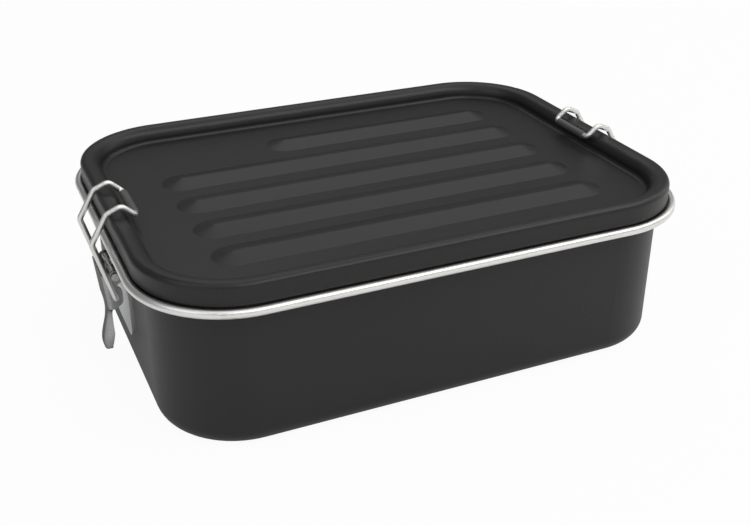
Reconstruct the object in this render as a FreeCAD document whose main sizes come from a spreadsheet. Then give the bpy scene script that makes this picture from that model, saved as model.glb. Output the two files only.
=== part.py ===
import FreeCAD, Part
import math
import os
import re

import Sketcher

doc = FreeCAD.newDocument("LunchBox")
sheet = doc.addObject("Spreadsheet::Sheet", "Dims")

# Driving sizes in millimetres: heights go up from the floor under the tub, reaches out from the middle.
SIZES = [
    ("tub_length", 202.6),
    ("tub_width", 148.2),
    ("tub_corner", 31.0),
    ("tub_height", 56.8),
    ("tub_sheet", 0.8),
    ("foot_round", 6.4),
    ("bead_offset", 5.1),
    ("bead_radius", 1.6),
    ("flange_reach", 4.7),
    ("lid_length", 210.2),
    ("lid_width", 155.8),
    ("lid_corner", 35.2),
    ("lid_sheet", 0.9),
    ("lid_top", 66.1),
    ("skirt_bottom", 58.4),
    ("border_width", 7.7),
    ("field_top", 59.85),
    ("crown_round", 2.1),
    ("shoulder_round", 4.4),
    ("field_round", 1.6),
    ("rib_length", 156.0),
    ("rib_width", 15.9),
    ("rib_rise", 2.05),
    ("rib_crest", 1.0),
    ("rib_pitch", 22.8),
    ("short_rib_start", -27.0),
    ("seal_bottom", 57.1),
    ("seal_top", 61.4),
    ("plate_width", 30.0),
    ("plate_sheet", 1.0),
    ("plate_bottom", 16.5),
    ("plate_top", 43.25),
    ("plate_round", 6.0),
    ("pivot_reach", 105.2),
    ("pivot_height", 41.5),
    ("knuckle_start", 2.4),
    ("knuckle_end", 8.2),
    ("pin_radius", 0.9),
    ("pin_half", 10.35),
    ("pin_head_radius", 1.5),
    ("pin_head_height", 0.55),
    ("running_gap", 0.05),
    ("lever_sheet", 0.9),
    ("lever_depth", 8.0),
    ("lever_back_reach", 107.2),
    ("lever_tip_back", 108.4),
    ("top_height", 42.2),
    ("top_reach", 110.1),
    ("top_half", 9.5),
    ("top_round", 1.2),
    ("neck_height", 28.0),
    ("neck_reach", 108.9),
    ("neck_half", 9.5),
    ("neck_round", 1.6),
    ("waist_height", 22.0),
    ("waist_reach", 108.9),
    ("waist_half", 4.4),
    ("waist_round", 2.6),
    ("spoon_height", 15.0),
    ("spoon_reach", 110.6),
    ("spoon_half", 5.0),
    ("spoon_round", 3.4),
    ("thumb_height", 10.0),
    ("thumb_reach", 111.4),
    ("thumb_half", 4.9),
    ("thumb_round", 3.4),
    ("tip_height", 7.0),
    ("tip_reach", 110.6),
    ("tip_half", 2.6),
    ("tip_round", 2.2),
    ("tip_curve", 5.2),
    ("ear_radius", 2.2),
    ("lobe_radius", 2.7),
    ("hook_reach", 105.9),
    ("hook_height", 33.0),
    ("wire_radius", 1.1),
    ("bail_half", 11.8),
    ("bail_end", 7.6),
    ("bend_reach", 112.2),
    ("bend_height", 57.0),
    ("rise_reach", 105.8),
    ("rise_height", 67.5),
    ("arch_reach", 100.3),
    ("arch_height", 69.75),
    ("bar_reach", 95.4),
    ("bar_height", 65.35),
    ("hook_bend", 1.8),
    ("wire_bend", 2.6),
    ("sleeve_radius", 1.55),
    ("sleeve_length", 19.0),
    ("sleeve_round", 0.3),
]
for row, (alias, size) in enumerate(SIZES, start=1):
    sheet.set(f"A{row}", alias)
    sheet.set(f"B{row}", str(size))
    sheet.setAlias(f"B{row}", alias)
doc.recompute()

NEAR = 0.01
NORMAL = FreeCAD.Vector(0, 0, 1)
worksheet = doc.addObject("Spreadsheet::Sheet", "Worked")


def bound(expression):
    """An expression in the sheet's names, as another object writes it."""
    return re.sub(r"[a-z_]+", r"Dims.\g<0>", expression)


def number(expression):
    """Lets a second sheet work out an expression in the first one's names."""
    worksheet.set("A1", "=" + bound(expression))
    worksheet.recompute()
    return float(worksheet.get("A1"))


def new_body(label):
    body = doc.addObject("PartDesign::Body", label)
    body.Label = label
    return body


def new_sketch(body, name, role, offset=None):
    """A sketch on one of the body's own planes, moved along the plane's normal by an expression."""
    sketch = body.newObject("Sketcher::SketchObject", name)
    plane = [item for item in body.Origin.OriginFeatures if item.Role == role][0]
    sketch.AttachmentSupport = [(plane, "")]
    sketch.MapMode = "FlatFace"
    if offset:
        sketch.setExpression("AttachmentOffset.Base.z", bound(offset))
    return sketch


def drive(sketch, constraint, name, expression):
    """Adds a dimension and ties it to the sheet."""
    place = sketch.addConstraint(constraint)
    sketch.renameConstraint(place, name)
    sketch.setExpression("Constraints." + name, bound(expression))


def joined(first, count):
    """Index pairs that join a run of geometry end to start in a closed loop."""
    return [(first + i, first + (i + 1) % count) for i in range(count)]


def rounded_rectangle(sketch, length, width, corner, middle="0"):
    """A rectangle with round corners, centred across the sketch and at a middle along it."""
    first = sketch.GeometryCount
    x = number(length) / 2
    y = number(width) / 2
    r = number(corner)
    shift = number(middle)
    ends = [
        ((r - x, -y), (x - r, -y)),
        ((x, r - y), (x, y - r)),
        ((x - r, y), (r - x, y)),
        ((-x, y - r), (-x, r - y)),
    ]
    middles = [(x - r, r - y), (x - r, y - r), (r - x, y - r), (r - x, r - y)]
    starts = [-math.pi / 2, 0, math.pi / 2, math.pi]
    for (a, b), (cx, cy), start in zip(ends, middles, starts):
        ends_at = [FreeCAD.Vector(px + shift, py, 0) for px, py in (a, b)]
        sketch.addGeometry(Part.LineSegment(*ends_at))
        full = Part.Circle(FreeCAD.Vector(cx + shift, cy, 0), NORMAL, r)
        sketch.addGeometry(Part.ArcOfCircle(full, start, start + math.pi / 2))
    for a, b in joined(first, 8):
        sketch.addConstraint(Sketcher.Constraint("Tangent", a, 2, b, 1))
    for side in (0, 4):
        sketch.addConstraint(Sketcher.Constraint("Horizontal", first + side))
        sketch.addConstraint(Sketcher.Constraint("Vertical", first + side + 2))
    for arc in (3, 5, 7):
        sketch.addConstraint(Sketcher.Constraint("Equal", first + 1, first + arc))
    right = f"{middle} + ({length}) / 2"
    left = f"{middle} - ({length}) / 2"
    drive(sketch, Sketcher.Constraint("DistanceX", -1, 1, first + 2, 1, shift + x), f"right{first}", right)
    drive(sketch, Sketcher.Constraint("DistanceX", -1, 1, first + 6, 1, shift - x), f"left{first}", left)
    drive(sketch, Sketcher.Constraint("DistanceY", -1, 1, first + 4, 1, y), f"far{first}", f"({width}) / 2")
    drive(sketch, Sketcher.Constraint("DistanceY", -1, 1, first, 1, -y), f"near{first}", f"-({width}) / 2")
    drive(sketch, Sketcher.Constraint("Radius", first + 1, r), f"corner{first}", corner)


def slot(sketch, middle_x, middle_y, length, width):
    """A straight slot along X with half round ends."""
    cx = number(middle_x)
    cy = number(middle_y)
    r = number(width) / 2
    half = number(length) / 2 - r
    for side in (-1, 1):
        a = FreeCAD.Vector(cx + side * half, cy + side * r, 0)
        b = FreeCAD.Vector(cx - side * half, cy + side * r, 0)
        sketch.addGeometry(Part.LineSegment(a, b))
        full = Part.Circle(FreeCAD.Vector(cx - side * half, cy, 0), NORMAL, r)
        sketch.addGeometry(Part.ArcOfCircle(full, side * math.pi / 2, side * math.pi / 2 + math.pi))
    for a, b in joined(0, 4):
        sketch.addConstraint(Sketcher.Constraint("Tangent", a, 2, b, 1))
    sketch.addConstraint(Sketcher.Constraint("Horizontal", 0))
    sketch.addConstraint(Sketcher.Constraint("Equal", 1, 3))
    span = f"({length} - ({width}))"
    drive(sketch, Sketcher.Constraint("Radius", 1, r), "round", f"({width}) / 2")
    drive(sketch, Sketcher.Constraint("DistanceX", 3, 3, 1, 3, 2 * half), "span", span)
    left = f"{span} / 2 - ({middle_x})"
    drive(sketch, Sketcher.Constraint("DistanceX", 3, 3, -1, 1, half - cx), "left", left)
    drive(sketch, Sketcher.Constraint("DistanceY", -1, 1, 1, 3, cy), "across", middle_y)


def outline(sketch, corners):
    """A closed outline of straight lines, each corner tied to the sheet and rounded where it has a radius."""
    points = [FreeCAD.Vector(number(x), number(y), 0) for x, y, *_ in corners]
    radii = [number(extra[0]) if extra else 0 for _, _, *extra in corners]
    count = len(corners)
    arrive = []
    leave = []
    turns = []
    for i, (p, r) in enumerate(zip(points, radii)):
        back = (points[i - 1] - p).normalize()
        on = (points[(i + 1) % count] - p).normalize()
        half = back.getAngle(on) / 2
        reach = r / math.tan(half)
        arrive.append(p + back * reach)
        leave.append(p + on * reach)
        turns.append(p + (back + on).normalize() * (r / math.sin(half) - r))
    lines = []
    for i in range(count):
        segment = Part.LineSegment(leave[i], arrive[(i + 1) % count])
        lines.append(sketch.addGeometry(segment))
    for i, (x, y, *extra) in enumerate(corners):
        before = lines[i - 1]
        after = lines[i]
        place = (after, 1)
        if extra:
            arc = Part.Arc(arrive[i], turns[i], leave[i])
            bend = sketch.addGeometry(arc)
            forward = (sketch.getPoint(bend, 1) - arrive[i]).Length < NEAR
            near, far = (1, 2) if forward else (2, 1)
            sketch.addConstraint(Sketcher.Constraint("Tangent", before, 2, bend, near))
            sketch.addConstraint(Sketcher.Constraint("Tangent", bend, far, after, 1))
            drive(sketch, Sketcher.Constraint("Radius", bend, radii[i]), f"round{after}", extra[0])
            spot = sketch.addGeometry(Part.Point(points[i]), True)
            sketch.addConstraint(Sketcher.Constraint("PointOnObject", spot, 1, before))
            sketch.addConstraint(Sketcher.Constraint("PointOnObject", spot, 1, after))
            place = (spot, 1)
        else:
            sketch.addConstraint(Sketcher.Constraint("Coincident", before, 2, after, 1))
        drive(sketch, Sketcher.Constraint("DistanceX", -1, 1, *place, points[i].x), f"side{after}", x)
        drive(sketch, Sketcher.Constraint("DistanceY", -1, 1, *place, points[i].y), f"up{after}", y)


def circle(sketch, x, y, radius):
    place = sketch.GeometryCount
    middle = FreeCAD.Vector(number(x), number(y), 0)
    sketch.addGeometry(Part.Circle(middle, NORMAL, number(radius)))
    drive(sketch, Sketcher.Constraint("Radius", place, number(radius)), f"round{place}", radius)
    drive(sketch, Sketcher.Constraint("DistanceX", -1, 1, place, 3, middle.x), f"side{place}", x)
    drive(sketch, Sketcher.Constraint("DistanceY", -1, 1, place, 3, middle.y), f"up{place}", y)


def extrude(body, kind, name, sketch, length, both=False, back=False):
    """A pad or a pocket of a driven length, to one side or to both."""
    feature = body.newObject("PartDesign::" + kind, name)
    feature.Profile = sketch
    feature.setExpression("Length", bound(length))
    if both:
        feature.SideType = "Symmetric"
    feature.Reversed = back
    doc.recompute()
    return feature


def fillet(body, name, base, test, radius):
    """Rounds the edges that pass a test."""
    names = [f"Edge{i}" for i, edge in enumerate(base.Shape.Edges, start=1) if test(edge)]
    feature = body.newObject("PartDesign::Fillet", name)
    feature.Base = (base, names)
    feature.setExpression("Radius", bound(radius))
    doc.recompute()
    return feature


def mirror(body, name, features):
    """The same features on the other side of the body's middle plane."""
    feature = body.newObject("PartDesign::Mirrored", name)
    plane = [item for item in body.Origin.OriginFeatures if item.Role == "XZ_Plane"][0]
    feature.Originals = features
    feature.MirrorPlane = (plane, [""])
    body.Tip = feature
    doc.recompute()
    return feature


def middle_of(edge):
    return edge.valueAt((edge.FirstParameter + edge.LastParameter) / 2)


def on_outline(height, length, width, corner):
    """A test for edges that lie on one rounded rectangle at one height."""
    z = number(height)
    r = number(corner)
    core_x = number(length) / 2 - r
    core_y = number(width) / 2 - r

    def test(edge):
        p = middle_of(edge)
        dx = max(abs(p.x) - core_x, 0)
        dy = max(abs(p.y) - core_y, 0)
        level = all(abs(v.Z - z) < NEAR for v in edge.Vertexes) and abs(p.z - z) < NEAR
        return level and abs(math.hypot(dx, dy) - r) < NEAR

    return test


# Tub: sheet drawn into a deep tray, with a round foot and a narrow flange turned out at the mouth.
TUB = ("tub_length", "tub_width", "tub_corner")
TUB_INSIDE = ("tub_length - 2 * tub_sheet", "tub_width - 2 * tub_sheet", "tub_corner - tub_sheet")
FLANGE = ("tub_length + 2 * flange_reach", "tub_width + 2 * flange_reach", "tub_corner + flange_reach")
FLANGE_ROOT = ("tub_length - tub_sheet", "tub_width - tub_sheet", "tub_corner - tub_sheet / 2")
tub = new_body("tub")
tub_outline = new_sketch(tub, "TubOutline", "XY_Plane")
rounded_rectangle(tub_outline, *TUB)
extrude(tub, "Pad", "TubBlock", tub_outline, "tub_height")
hollow_outline = new_sketch(tub, "TubHollowOutline", "XY_Plane", "tub_height")
rounded_rectangle(hollow_outline, *TUB_INSIDE)
hollow = extrude(tub, "Pocket", "TubHollow", hollow_outline, "tub_height - tub_sheet")
inner_foot_edges = on_outline("tub_sheet", *TUB_INSIDE)
inner_foot = fillet(tub, "TubInnerFoot", hollow, inner_foot_edges, "foot_round - tub_sheet")
fillet(tub, "TubFoot", inner_foot, on_outline("0 * tub_height", *TUB), "foot_round")
flange_outline = new_sketch(tub, "FlangeOutline", "XY_Plane", "tub_height - tub_sheet")
rounded_rectangle(flange_outline, *FLANGE)
rounded_rectangle(flange_outline, *FLANGE_ROOT)
extrude(tub, "Pad", "Flange", flange_outline, "tub_sheet")

# Rim ring: round bright bead closed over the edge of the tub's flange, which sits in a slot on its inside.
BEAD = ("tub_length + 2 * bead_offset", "tub_width + 2 * bead_offset", "tub_corner + bead_offset")
BEAD_HEIGHT = "tub_height - tub_sheet / 2"
rim_ring = new_body("rim_ring")
bead_path = new_sketch(rim_ring, "BeadPath", "XY_Plane", BEAD_HEIGHT)
rounded_rectangle(bead_path, *BEAD)
bead_section = new_sketch(rim_ring, "BeadSection", "XZ_Plane")
circle(bead_section, "tub_length / 2 + bead_offset", BEAD_HEIGHT, "bead_radius")
doc.recompute()
bead = rim_ring.newObject("PartDesign::AdditivePipe", "Bead")
bead.Profile = bead_section
bead.Spine = bead_path
doc.recompute()
slot_outline = new_sketch(rim_ring, "BeadSlotOutline", "XY_Plane", "tub_height")
rounded_rectangle(slot_outline, *FLANGE)
extrude(rim_ring, "Pocket", "BeadSlot", slot_outline, "tub_sheet")

# Lid: pressed sheet with a raised hollow border round a sunk field.
LID = ("lid_length", "lid_width", "lid_corner")
RECESS = ("lid_length - 2 * border_width", "lid_width - 2 * border_width", "lid_corner - border_width")
CHANNEL_OUT = ("lid_length - 2 * lid_sheet", "lid_width - 2 * lid_sheet", "lid_corner - lid_sheet")
CHANNEL_IN = (
    "lid_length - 2 * border_width + 2 * lid_sheet",
    "lid_width - 2 * border_width + 2 * lid_sheet",
    "lid_corner - border_width + lid_sheet",
)
FIELD_UNDER = "field_top - lid_sheet"
lid = new_body("lid")
lid_outline = new_sketch(lid, "LidOutline", "XY_Plane", "skirt_bottom")
rounded_rectangle(lid_outline, *LID)
extrude(lid, "Pad", "LidBlock", lid_outline, "lid_top - skirt_bottom")
recess_outline = new_sketch(lid, "RecessOutline", "XY_Plane", "lid_top")
rounded_rectangle(recess_outline, *RECESS)
extrude(lid, "Pocket", "Recess", recess_outline, "lid_top - field_top")
under_outline = new_sketch(lid, "UnderOutline", "XY_Plane", "skirt_bottom")
rounded_rectangle(under_outline, *CHANNEL_OUT)
extrude(lid, "Pocket", "Underside", under_outline, "field_top - lid_sheet - skirt_bottom", back=True)
channel_outline = new_sketch(lid, "ChannelOutline", "XY_Plane", "skirt_bottom")
rounded_rectangle(channel_outline, *CHANNEL_OUT)
rounded_rectangle(channel_outline, *CHANNEL_IN)
channel = extrude(lid, "Pocket", "Channel", channel_outline, "lid_top - lid_sheet - skirt_bottom", back=True)
CHANNEL_TOP = "lid_top - lid_sheet"
inner_bend_edges = on_outline(CHANNEL_TOP, *CHANNEL_IN)
inner_bend = fillet(lid, "InnerBend", channel, inner_bend_edges, "shoulder_round - lid_sheet")
outer_bend_edges = on_outline(CHANNEL_TOP, *CHANNEL_OUT)
outer_bend = fillet(lid, "OuterBend", inner_bend, outer_bend_edges, "crown_round - lid_sheet")
crown = fillet(lid, "Crown", outer_bend, on_outline("lid_top", *LID), "crown_round")
shoulder = fillet(lid, "Shoulder", crown, on_outline("lid_top", *RECESS), "shoulder_round")
fillet(lid, "FieldEdge", shoulder, on_outline("field_top", *RECESS), "field_round")


def rib(name, kind, middle_x, middle_y, length, base):
    """One roof shaped rib with half cone ends, raised from a base height or sunk into the underside."""
    low = new_sketch(lid, name + "Foot", "XY_Plane", base)
    slot(low, middle_x, middle_y, length, "rib_width")
    high = new_sketch(lid, name + "Crest", "XY_Plane", base + " + rib_rise")
    slot(high, middle_x, middle_y, f"({length} - rib_width + rib_crest)", "rib_crest")
    doc.recompute()
    loft = lid.newObject(f"PartDesign::{kind}Loft", name)
    loft.Profile = low
    loft.Sections = [high]
    loft.Ruled = True
    doc.recompute()
    return loft


# Ribs: four long ones in an even row, and a shorter one at the far side.
LONG_MIDDLE = "0 * rib_length"
SHORT_MIDDLE = "(rib_length / 2 + short_rib_start) / 2"
SHORT_LENGTH = "(rib_length / 2 - short_rib_start)"
ROW_START = "rib_pitch"
SHORT_ROW = "2 * rib_pitch"
LONG_RIBS = 4
raised = rib("Rib", "Additive", LONG_MIDDLE, ROW_START, "rib_length", "field_top")
sunk = rib("RibHollow", "Subtractive", LONG_MIDDLE, ROW_START, "rib_length", FIELD_UNDER)
rib("ShortRib", "Additive", SHORT_MIDDLE, SHORT_ROW, SHORT_LENGTH, "field_top")
rib("ShortRibHollow", "Subtractive", SHORT_MIDDLE, SHORT_ROW, SHORT_LENGTH, FIELD_UNDER)
row = lid.newObject("PartDesign::LinearPattern", "RibRow")
row.Originals = [raised, sunk]
row.Direction = (lid_outline, ["V_Axis"])
row.Reversed = True
row.setExpression("Length", bound(f"{LONG_RIBS - 1} * rib_pitch"))
row.Occurrences = LONG_RIBS
lid.Tip = row
doc.recompute()

# Seal: soft ring held between the two walls of the lid's hollow border, standing just over the tub's flange.
lid_seal = new_body("lid_seal")
seal_outline = new_sketch(lid_seal, "SealOutline", "XY_Plane", "seal_bottom")
rounded_rectangle(seal_outline, *CHANNEL_OUT)
rounded_rectangle(seal_outline, *CHANNEL_IN)
extrude(lid_seal, "Pad", "Seal", seal_outline, "seal_top - seal_bottom")


def bracket(label):
    """Base plate welded to the end wall, with two knuckles rolled over the pivot."""
    body = new_body(label)
    half = "plate_width / 2"
    face = new_sketch(body, "PlateOutline", "YZ_Plane", "-tub_length / 2")
    outline(face, [
        ("-" + half, "plate_bottom", "plate_round"),
        (half, "plate_bottom", "plate_round"),
        (half, "plate_top", "plate_sheet"),
        ("-" + half, "plate_top", "plate_sheet"),
    ])
    extrude(body, "Pad", "Plate", face, "plate_sheet", back=True)
    wall = "-(tub_length / 2 + plate_sheet / 2)"
    strap_outline = new_sketch(body, "StrapOutline", "XZ_Plane", "knuckle_start")
    outline(strap_outline, [
        (wall, "plate_top"),
        ("-pivot_reach", "plate_top"),
        ("-pivot_reach", "plate_top - plate_sheet"),
        (wall, "plate_top - plate_sheet"),
    ])
    strap = extrude(body, "Pad", "Strap", strap_outline, "knuckle_end - knuckle_start")
    roll_outline = new_sketch(body, "RollOutline", "XZ_Plane", "knuckle_start")
    circle(roll_outline, "-pivot_reach", "pivot_height", "plate_top - pivot_height")
    roll = extrude(body, "Pad", "Roll", roll_outline, "knuckle_end - knuckle_start")
    mirror(body, "Knuckles", [strap, roll])
    bore_outline = new_sketch(body, "BoreOutline", "XZ_Plane")
    circle(bore_outline, "-pivot_reach", "pivot_height", "pin_radius")
    extrude(body, "Pocket", "Bore", bore_outline, "plate_width", both=True)
    return body


def hinge_pin(label):
    """Pin through the knuckles and the lever, with a low peened head at each end."""
    body = new_body(label)
    shaft_outline = new_sketch(body, "ShaftOutline", "XZ_Plane")
    circle(shaft_outline, "-pivot_reach", "pivot_height", "pin_radius")
    extrude(body, "Pad", "Shaft", shaft_outline, "2 * pin_half", both=True)
    head_outline = new_sketch(body, "HeadOutline", "XZ_Plane", "pin_half - pin_head_height")
    circle(head_outline, "-pivot_reach", "pivot_height", "pin_head_radius")
    head = extrude(body, "Pad", "Head", head_outline, "pin_head_height")
    mirror(body, "Heads", [head])
    return body


def lever_loft(body, name, kind, places, inset):
    """A shell of the lever through level sections, drawn in by an inset from its outside."""
    sections = []
    for place, rise in places:
        height = f"{place}_height + {rise} * lever_sheet"
        width = f"2 * ({place}_half - {inset})"
        corner = f"({place}_round - {inset})"
        middle = f"lever_depth / 2 - ({place}_reach - {inset})"
        level = new_sketch(body, f"{name}{place.title()}", "XY_Plane", height)
        rounded_rectangle(level, "lever_depth", width, corner, middle)
        sections.append(level)
    doc.recompute()
    loft = body.newObject(f"PartDesign::{kind}Loft", name)
    loft.Profile = sections[0]
    loft.Sections = sections[1:]
    doc.recompute()
    return loft


def lever(label):
    """Pressed channel lever with two side flanges, a narrow waist and a spoon shaped thumb tab."""
    body = new_body(label)
    lever_loft(body, "Channel", "Additive", [("top", 0), ("neck", 0)], "0 * lever_sheet")
    spoon = [("neck", 0), ("waist", 0), ("spoon", 0), ("thumb", 0), ("tip", 0)]
    lever_loft(body, "Spoon", "Additive", spoon, "0 * lever_sheet")
    lever_loft(body, "ChannelHollow", "Subtractive", [("top", 1), ("neck", 0)], "lever_sheet")
    lever_loft(body, "SpoonHollow", "Subtractive", spoon[:-1] + [("tip", 1)], "lever_sheet")
    back_outline = new_sketch(body, "BackOutline", "XZ_Plane")
    outline(back_outline, [
        ("-lever_back_reach", "top_height + lever_sheet"),
        ("-lever_back_reach", "spoon_height"),
        ("-lever_tip_back", "thumb_height"),
        ("-lever_tip_back", "tip_height - lever_sheet"),
        ("2 * lever_depth - lever_back_reach", "tip_height - lever_sheet"),
        ("2 * lever_depth - lever_back_reach", "top_height + lever_sheet"),
    ])
    extrude(body, "Pocket", "Back", back_outline, "3 * neck_half", both=True)
    tip_outline = new_sketch(body, "TipOutline", "YZ_Plane", "-thumb_reach - lever_sheet")
    for side in ("", "-"):
        outline(tip_outline, [
            (f"{side}tip_curve", "tip_height + tip_curve + lever_sheet"),
            (f"{side}tip_curve", "tip_height", "tip_curve - lever_sheet / 4"),
            (f"{side}lever_sheet / 8", "tip_height"),
            (f"{side}lever_sheet / 8", "tip_height - lever_sheet"),
            (f"{side}(tip_curve + lever_sheet)", "tip_height - lever_sheet"),
            (f"{side}(tip_curve + lever_sheet)", "tip_height + tip_curve + lever_sheet"),
        ])
    extrude(body, "Pocket", "Tip", tip_outline, "lever_depth", back=True)

    flange_outline = new_sketch(body, "FlangeOutline", "XZ_Plane", "neck_half - lever_sheet")
    front = "-lever_back_reach - lever_sheet / 2"
    ear = "pivot_reach - ear_radius"
    lobe = "hook_reach - lobe_radius"
    outline(flange_outline, [
        (front, "top_height"),
        ("-pivot_reach - ear_radius / 2", "pivot_height + ear_radius", "ear_radius"),
        (f"-({ear})", "pivot_height + ear_radius", "ear_radius"),
        (f"-({ear})", "pivot_height - ear_radius", "ear_radius"),
        ("-pivot_reach", "(pivot_height - ear_radius + hook_height + lobe_radius) / 2", "lever_sheet"),
        (f"-({lobe})", "hook_height + lobe_radius", "lobe_radius"),
        (f"-({lobe})", "hook_height - lobe_radius", "lobe_radius"),
        ("-lever_back_reach + lever_sheet", "neck_height", "lever_sheet"),
        (front, "neck_height"),
    ])
    flange = extrude(body, "Pad", "Flange", flange_outline, "lever_sheet")
    mirror(body, "Flanges", [flange])

    bore_outline = new_sketch(body, "BoreOutline", "XZ_Plane")
    circle(bore_outline, "-pivot_reach", "pivot_height", "pin_radius + running_gap")
    circle(bore_outline, "-hook_reach", "hook_height", "wire_radius + running_gap")
    extrude(body, "Pocket", "Bores", bore_outline, "3 * neck_half", both=True)
    return body


def bail(label):
    """Wire bent into a loop: hooked ends in the lever, legs over the rim and an arch down onto the lid."""
    half = number("bail_half")
    radius = number("wire_radius")
    leg = [
        ("hook_reach", "hook_height", "hook_bend"),
        ("bend_reach", "bend_height", "wire_bend"),
        ("rise_reach", "rise_height", "wire_bend"),
        ("arch_reach", "arch_height", "wire_bend"),
        ("bar_reach", "bar_height", "hook_bend"),
    ]
    corners = [(FreeCAD.Vector(-number(x), -half, number(z)), number(r)) for x, z, r in leg]
    corners += [(FreeCAD.Vector(p.x, half, p.z), r) for p, r in corners[::-1]]
    hook = corners[0][0]
    start = FreeCAD.Vector(hook.x, -number("bail_end"), hook.z)
    end = FreeCAD.Vector(hook.x, number("bail_end"), hook.z)
    edges = []
    at = start
    for i, (p, r) in enumerate(corners):
        following = corners[i + 1][0] if i + 1 < len(corners) else end
        back = (at - p).normalize()
        on = (following - p).normalize()
        half_angle = back.getAngle(on) / 2
        reach = r / math.tan(half_angle)
        turn = p + (back + on).normalize() * (r / math.sin(half_angle) - r)
        edges.append(Part.makeLine(at, p + back * reach))
        edges.append(Part.Arc(p + back * reach, turn, p + on * reach).toShape())
        at = p + on * reach
    edges.append(Part.makeLine(at, end))
    section = Part.Wire(Part.makeCircle(radius, start, FreeCAD.Vector(0, 1, 0)))
    wire = doc.addObject("Part::Feature", label)
    wire.Label = label
    wire.Shape = Part.Wire(edges).makePipeShell([section], True, False)
    return wire


def sleeve(label):
    """Black grip sleeve on the bail's cross bar."""
    body = new_body(label)
    ring = new_sketch(body, "SleeveOutline", "XZ_Plane")
    circle(ring, "-bar_reach", "bar_height", "sleeve_radius")
    circle(ring, "-bar_reach", "bar_height", "wire_radius")
    tube = extrude(body, "Pad", "Tube", ring, "sleeve_length", both=True)
    rim = number("sleeve_radius")

    def outer_end(edge):
        return edge.Curve.TypeId == "Part::GeomCircle" and abs(edge.Curve.Radius - rim) < NEAR

    fillet(body, "TubeEnds", tube, outer_end, "sleeve_round")
    return body


# Latches: one set at the left end, and the same set turned half round the box for the right end.
HALF_TURN = FreeCAD.Rotation(NORMAL, 180)
pieces = [tub, rim_ring, lid, lid_seal]
for make in (bracket, hinge_pin, lever, bail, sleeve):
    pieces.append(make("left_" + make.__name__))
    opposite = make("right_" + make.__name__)
    opposite.Placement = FreeCAD.Placement(FreeCAD.Vector(0, 0, 0), HALF_TURN)
    pieces.append(opposite)
doc.recompute()

# Every object and every piece must be sound before it is written.
for item in doc.Objects:
    if "Invalid" in item.State or "Error" in item.State:
        raise RuntimeError(f"{item.Name} did not build: {item.State}")
os.makedirs("parts", exist_ok=True)
for piece in pieces:
    if piece.Shape.isNull() or not piece.Shape.isValid() or len(piece.Shape.Solids) != 1:
        raise RuntimeError(f"{piece.Label} is not one sound solid")
    piece.Shape.exportStep(f"parts/{piece.Label}.step")
    box = piece.Shape.optimalBoundingBox(True, False)
    print(piece.Label, round(piece.Shape.Volume, 1), box)
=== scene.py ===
import math

import bpy
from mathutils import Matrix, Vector

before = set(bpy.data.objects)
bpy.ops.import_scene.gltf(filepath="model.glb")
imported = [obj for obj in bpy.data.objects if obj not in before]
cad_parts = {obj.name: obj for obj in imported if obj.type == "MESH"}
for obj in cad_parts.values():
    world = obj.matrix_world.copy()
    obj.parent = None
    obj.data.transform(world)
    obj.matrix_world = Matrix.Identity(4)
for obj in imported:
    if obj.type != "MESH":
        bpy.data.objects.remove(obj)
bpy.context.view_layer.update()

# Tub: steel sheet drawn into a deep tray with a rounded foot and a narrow flange at its mouth.
# It is coated in satin black inside and out.
# The coat is a little uneven: fine grain, faint clouding and a soft orange peel.


class Value:
    """A number that varies over a surface. Arithmetic on it adds Math nodes."""

    def __init__(self, shading, socket):
        self.shading = shading
        self.socket = socket

    def math(self, operation, first, second):
        node = self.shading.node("ShaderNodeMath", {"operation": operation}, {0: first, 1: second})
        return Value(self.shading, node.outputs[0])

    def __add__(self, other):
        return self.math("ADD", self, other)

    def __radd__(self, other):
        return self.math("ADD", other, self)

    def __sub__(self, other):
        return self.math("SUBTRACT", self, other)

    def __rsub__(self, other):
        return self.math("SUBTRACT", other, self)

    def __mul__(self, other):
        return self.math("MULTIPLY", self, other)

    def __rmul__(self, other):
        return self.math("MULTIPLY", other, self)


class Shading:
    """The nodes of a finish, or of the studio's walls."""

    def __init__(self, tree):
        self.tree = tree

    def node(self, kind, settings=None, sockets=None):
        """Adds a node, sets its settings, then gives each socket its value or link."""
        node = self.tree.nodes.new(kind)
        for name, value in (settings or {}).items():
            setattr(node, name, value)
        for name, value in (sockets or {}).items():
            if isinstance(value, Value):
                value = value.socket
            if isinstance(value, bpy.types.NodeSocket):
                self.tree.links.new(value, node.inputs[name])
            else:
                node.inputs[name].default_value = value
        return node


class Finish(Shading):
    """A surface finish: a node material with one Principled shader."""

    def __init__(self, name, **constants):
        self.material = bpy.data.materials.new(name)
        self.material.use_nodes = True
        super().__init__(self.material.node_tree)
        self.surface = self.tree.nodes["Principled BSDF"]
        for socket, value in constants.items():
            self.surface.inputs[socket.replace("_", " ")].default_value = value
        self.place = self.node("ShaderNodeTexCoord").outputs["Object"]

    def noise(self, per_metre, stretch=(1, 1, 1)):
        """Noise over the piece, from 0 to 1, with about so many features to the metre."""
        spread = self.node("ShaderNodeVectorMath", {"operation": "MULTIPLY"}, {0: self.place, 1: stretch})
        texture = self.node("ShaderNodeTexNoise", None, {"Vector": spread.outputs[0], "Scale": per_metre})
        return Value(self, texture.outputs["Fac"])

    def blend(self, factor, low, high):
        """A colour between two others."""
        mix = self.node("ShaderNodeMix", {"data_type": "RGBA"}, {"Factor": factor, "A": low, "B": high})
        return mix.outputs[2]

    def feed(self, socket, value):
        """Links what varies over the surface, a number or another socket, to the shader."""
        if isinstance(value, Value):
            value = value.socket
        self.tree.links.new(value, self.surface.inputs[socket])

    def bump(self, height, strength, depth):
        """Roughens the surface by a height from 0 to 1, over a depth in metres."""
        relief = self.node("ShaderNodeBump", None, {"Height": height, "Strength": strength, "Distance": depth})
        self.feed("Normal", relief.outputs["Normal"])


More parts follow.
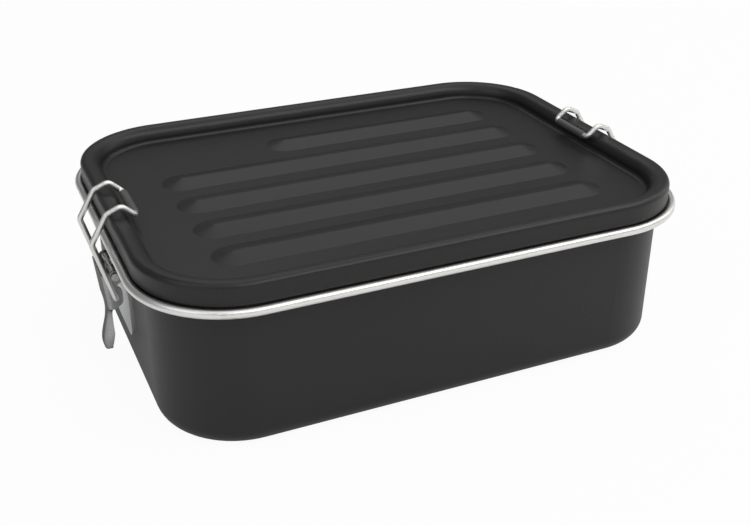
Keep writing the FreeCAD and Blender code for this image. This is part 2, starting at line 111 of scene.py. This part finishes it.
def coat(names, finish):
    """Gives CAD pieces a finish."""
    for name in names:
        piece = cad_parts[name]
        for place in piece.material_slots:
            place.material = finish.material


BLACK_LOW = (0.0095, 0.0095, 0.0097, 1)
BLACK_HIGH = (0.0175, 0.0175, 0.0177, 1)
BLACK_SHEEN = 0.40
BLACK_ROUGHNESS = 0.35
CLOUDS_PER_M = 14
CLOUD_SHARE = 0.3
CLOUD_DULLING = 0.04
GRAIN_PER_M = 1800
GRAIN_SHARE = 0.7
GRAIN_DULLING = 0.06
PEEL_PER_M = 1100
PEEL_STRENGTH = 0.60
PEEL_DEPTH = 0.0001
black_coat = Finish("satin_black_coat", Specular_IOR_Level=BLACK_SHEEN)
clouds = black_coat.noise(CLOUDS_PER_M)
grain = black_coat.noise(GRAIN_PER_M)
peel = black_coat.noise(PEEL_PER_M)
unevenness = CLOUD_SHARE * clouds + GRAIN_SHARE * grain
black_coat.feed("Base Color", black_coat.blend(unevenness, BLACK_LOW, BLACK_HIGH))
black_coat.feed("Roughness", BLACK_ROUGHNESS + CLOUD_DULLING * clouds + GRAIN_DULLING * grain)
black_coat.bump(peel, PEEL_STRENGTH, PEEL_DEPTH)
coat(["tub"], black_coat)

# Rim ring: bright bare steel bead, closed over the tub's flange all the way round.
# It is polished to a soft shine, with faint smears and fine drawing lines along it.
RIM_LOW = (0.84, 0.83, 0.81, 1)
RIM_HIGH = (0.94, 0.93, 0.91, 1)
RIM_ROUGHNESS = 0.34
RIM_SMEARS_PER_M = 60
RIM_SMEAR_DULLING = 0.05
RIM_LINES_PER_M = 900
RIM_LINE_STRETCH = (0.1, 0.1, 6)
RIM_LINE_DULLING = 0.04
RIM_LINE_STRENGTH = 0.05
LINE_DEPTH = 0.00002
bright_rim = Finish("polished_rim", Metallic=1.0)
rim_smears = bright_rim.noise(RIM_SMEARS_PER_M)
rim_lines = bright_rim.noise(RIM_LINES_PER_M, RIM_LINE_STRETCH)
bright_rim.feed("Base Color", bright_rim.blend(rim_smears, RIM_LOW, RIM_HIGH))
bright_rim.feed("Roughness", RIM_ROUGHNESS + RIM_SMEAR_DULLING * rim_smears + RIM_LINE_DULLING * rim_lines)
bright_rim.bump(rim_lines, RIM_LINE_STRENGTH, LINE_DEPTH)
coat(["rim_ring"], bright_rim)

# Lid: steel sheet pressed with a raised hollow border, a sunk field and five long ribs.
# It has the same satin black coat as the tub, and lies loose on its mouth until it is latched.
coat(["lid"], black_coat)

# Lid seal: soft black silicone ring, moulded in one and pushed up into the hollow of the border.
# It is matt and takes a little dust.
SEAL_LOW = (0.020, 0.020, 0.020, 1)
SEAL_HIGH = (0.034, 0.034, 0.034, 1)
SEAL_IOR = 1.42
SEAL_ROUGHNESS = 0.65
DUST_PER_M = 300
DUST_DULLING = 0.15
seal_rubber = Finish("silicone_seal", IOR=SEAL_IOR)
seal_dust = seal_rubber.noise(DUST_PER_M)
seal_rubber.feed("Base Color", seal_rubber.blend(seal_dust, SEAL_LOW, SEAL_HIGH))
seal_rubber.feed("Roughness", SEAL_ROUGHNESS + DUST_DULLING * seal_dust)
coat(["lid_seal"], seal_rubber)

# Brackets and hinge pins: a plate with two rolled knuckles on each end wall, and a pin through them.
# They are steel, pressed or turned, and plated bright. The plates are spot welded to the tub.
# The metal keeps a fine brushed grain and small smears.
STEEL_LOW = (0.60, 0.60, 0.605, 1)
STEEL_HIGH = (0.76, 0.76, 0.765, 1)
STEEL_ROUGHNESS = 0.16
SMEARS_PER_M = 120
SMEAR_DULLING = 0.08
BRUSHING_PER_M = 2200
BRUSHING_STRETCH = (1, 1, 0.06)
BRUSHING_DULLING = 0.06
BRUSHING_STRENGTH = 0.08
SIDES = ("left", "right")
PLATED = ("bracket", "hinge_pin")
latch_steel = Finish("plated_sheet", Metallic=1.0)
smears = latch_steel.noise(SMEARS_PER_M)
brushing = latch_steel.noise(BRUSHING_PER_M, BRUSHING_STRETCH)
latch_steel.feed("Base Color", latch_steel.blend(smears, STEEL_LOW, STEEL_HIGH))
latch_steel.feed("Roughness", STEEL_ROUGHNESS + SMEAR_DULLING * smears + BRUSHING_DULLING * brushing)
latch_steel.bump(brushing, BRUSHING_STRENGTH, LINE_DEPTH)
coat([f"{side}_{piece}" for side in SIDES for piece in PLATED], latch_steel)

# Levers: steel sheet pressed into a channel with a waist and a spoon, hung on the hinge pins.
# Its metal is tinted darker where it is seen nearly edge on: painted shade, standing in for the shadowed floor
# that it reflects.
LEVER_LOW = (0.34, 0.34, 0.34, 1)
LEVER_HIGH = (0.46, 0.46, 0.455, 1)
# Painted shade: the colour the metal takes where it is seen nearly edge on, darker than its face.
LEVER_EDGE_ON_PAINTED_SHADE = (0.28, 0.28, 0.285, 1)
LEVER_ROUGHNESS = 0.20
SCUFFS_PER_M = 160
SCUFF_DULLING = 0.10
lever_steel = Finish("pressed_sheet", Metallic=1.0, Specular_Tint=LEVER_EDGE_ON_PAINTED_SHADE)
scuffs = lever_steel.noise(SCUFFS_PER_M)
drawn = lever_steel.noise(BRUSHING_PER_M, BRUSHING_STRETCH)
lever_steel.feed("Base Color", lever_steel.blend(scuffs, LEVER_LOW, LEVER_HIGH))
lever_steel.feed("Roughness", LEVER_ROUGHNESS + SCUFF_DULLING * scuffs + BRUSHING_DULLING * drawn)
lever_steel.bump(drawn, BRUSHING_STRENGTH, LINE_DEPTH)
coat([f"{side}_lever" for side in SIDES], lever_steel)

# Bails: hard drawn steel wire, bent into a loop and plated bright.
# Their ends hook into the lobes of the levers, and their arches hold the lid down.
WIRE_LOW = (0.78, 0.77, 0.75, 1)
WIRE_HIGH = (0.90, 0.89, 0.87, 1)
WIRE_ROUGHNESS = 0.36
WIRE_SMEARS_PER_M = 200
WIRE_SMEAR_DULLING = 0.08
latch_wire = Finish("plated_wire", Metallic=1.0)
wire_smears = latch_wire.noise(WIRE_SMEARS_PER_M)
latch_wire.feed("Base Color", latch_wire.blend(wire_smears, WIRE_LOW, WIRE_HIGH))
latch_wire.feed("Roughness", WIRE_ROUGHNESS + WIRE_SMEAR_DULLING * wire_smears)
coat([f"{side}_bail" for side in SIDES], latch_wire)

# Sleeves: short lengths of black rubber tube, pushed over the bails' cross bars.
# They keep the wire off the lid's coat, and are rubbed a little grey.
SLEEVE_LOW = (0.072, 0.072, 0.072, 1)
SLEEVE_HIGH = (0.098, 0.098, 0.098, 1)
SLEEVE_IOR = 1.5
SLEEVE_ROUGHNESS = 0.42
RUBBING_PER_M = 500
RUBBING_DULLING = 0.14
sleeve_rubber = Finish("sleeve_rubber", IOR=SLEEVE_IOR)
rubbing = sleeve_rubber.noise(RUBBING_PER_M)
sleeve_rubber.feed("Base Color", sleeve_rubber.blend(rubbing, SLEEVE_LOW, SLEEVE_HIGH))
sleeve_rubber.feed("Roughness", SLEEVE_ROUGHNESS + RUBBING_DULLING * rubbing)
coat([f"{side}_sleeve" for side in SIDES], sleeve_rubber)

# Floor: plain white table top that the box stands on.
# The camera sees it as white with a faint shadow of the box.
# Metal shows part of that white too, with more of the shadow.


def rays(shading):
    """1 or 0 for each way to see a surface: by the camera, in metal and through glass."""
    path = shading.node("ShaderNodeLightPath")
    ways = ("Is Camera Ray", "Is Glossy Ray", "Is Transmission Ray")
    return [Value(shading, path.outputs[way]) for way in ways]


def cover(shading, factor, under, over, output):
    """Shows one shader over another, as far as the factor says."""
    mix = shading.node("ShaderNodeMixShader", None, {0: factor, 1: under.outputs[0], 2: over.outputs[0]})
    shading.tree.links.new(mix.outputs[0], shading.tree.nodes[output].inputs["Surface"])


FLOOR_HALF = 4.0
FLOOR_WHITE = (0.86, 0.86, 0.86, 1)
FLOOR_ROUGHNESS = 0.9
PURE_WHITE = (1, 1, 1, 1)
SEEN_WHITE = 0.95
MIRRORED_WHITE = 0.20
floor_mesh = bpy.data.meshes.new("floor")
floor_corners = [(x * FLOOR_HALF, y * FLOOR_HALF, 0) for x, y in ((-1, -1), (1, -1), (1, 1), (-1, 1))]
floor_mesh.from_pydata(floor_corners, [], [(0, 1, 2, 3)])
floor = bpy.data.objects.new("floor", floor_mesh)
bpy.context.scene.collection.objects.link(floor)
table_white = Finish("table_white", Base_Color=FLOOR_WHITE, Roughness=FLOOR_ROUGHNESS)
by_camera, in_metal, through_glass = rays(table_white)
shining = table_white.node("ShaderNodeEmission", None, {"Color": PURE_WHITE, "Strength": 1.0})
white_share = SEEN_WHITE * by_camera + MIRRORED_WHITE * (in_metal + through_glass)
cover(table_white, white_share, table_white.surface, shining, "Material Output")
floor_mesh.materials.append(table_white.material)

# Studio light: dim even walls, and five soft boxes that all face the lunch box.
# The camera sees the walls as white, and metal shows the low front wall white too.


def clamped(value):
    """The same number, held between 0 and 1."""
    return Value(value.shading, value.shading.node("ShaderNodeClamp", None, {"Value": value}).outputs[0])


SURROUND = 0.17
FRONT_WALL_TOP = 0.36
FRONT_WALL_TOP_FADE = 6.0
FRONT_WALL_SIDE_FADE = 3.0
world = bpy.data.worlds.new("studio")
bpy.context.scene.world = world
world.use_nodes = True
walls = Shading(world.node_tree)
direction = walls.node("ShaderNodeTexCoord").outputs["Generated"]
toward = walls.node("ShaderNodeSeparateXYZ", None, {0: direction})
upward = Value(walls, toward.outputs["Z"])
backward = Value(walls, toward.outputs["Y"])
low_down = clamped((FRONT_WALL_TOP - upward) * FRONT_WALL_TOP_FADE)
in_front = clamped((0 - backward) * FRONT_WALL_SIDE_FADE)
by_camera, in_metal, through_glass = rays(walls)
dim = walls.node("ShaderNodeBackground", None, {"Color": PURE_WHITE, "Strength": SURROUND})
bright = walls.node("ShaderNodeBackground", None, {"Color": PURE_WHITE, "Strength": 1.0})
cover(walls, by_camera + (in_metal + through_glass) * low_down * in_front, dim, bright, "World Output")

BOX_MIDDLE = (0, 0, 0.035)
WARM = (1.0, 0.985, 0.96)
MILD = (1.0, 0.99, 0.97)
NEUTRAL = (1.0, 1.0, 1.0)
COOL = (0.9, 0.95, 1.0)


def softbox(name, place, width, height, watts, colour):
    """A soft rectangular lamp that faces the middle of the lunch box."""
    lamp = bpy.data.lights.new(name, "AREA")
    lamp.shape = "RECTANGLE"
    lamp.size = width
    lamp.size_y = height
    lamp.energy = watts
    lamp.color = colour
    holder = bpy.data.objects.new(name, lamp)
    holder.location = place
    holder.rotation_euler = (Vector(BOX_MIDDLE) - Vector(place)).to_track_quat("-Z", "Y").to_euler()
    bpy.context.scene.collection.objects.link(holder)


softbox("key", place=(0.42, -0.70, 1.15), width=1.7, height=0.6, watts=9, colour=WARM)
softbox("zenith", place=(-0.10, -0.10, 1.40), width=1.2, height=0.8, watts=2.4, colour=MILD)
softbox("overhead", place=(0.55, 0.60, 1.19), width=1.8, height=0.8, watts=5, colour=NEUTRAL)
softbox("left_fill", place=(-0.92, -0.30, 0.92), width=0.9, height=0.8, watts=2.8, colour=COOL)
softbox("right_fill", place=(1.1, 0.1, 0.5), width=0.5, height=0.9, watts=1.6, colour=MILD)

# Camera: a camera with a lens of about 50 mm, on a stand in front of the near left corner.
# It looks down over the near edge and along the lid.
CAMERA_PLACE = (-0.15514, -0.35566, 0.22382)
CAMERA_AZIMUTH = math.radians(-23.96)
CAMERA_DOWN = math.radians(27.67)
SENSOR_WIDTH = 36
LENS_LENGTH = 50.31
eye = bpy.data.cameras.new("camera")
eye.sensor_width = SENSOR_WIDTH
eye.lens = LENS_LENGTH
camera = bpy.data.objects.new("camera", eye)
camera.location = CAMERA_PLACE
camera.rotation_euler = (math.pi / 2 - CAMERA_DOWN, 0, CAMERA_AZIMUTH)
bpy.context.scene.collection.objects.link(camera)
bpy.context.scene.camera = camera
bpy.context.scene.view_settings.view_transform = "Standard"
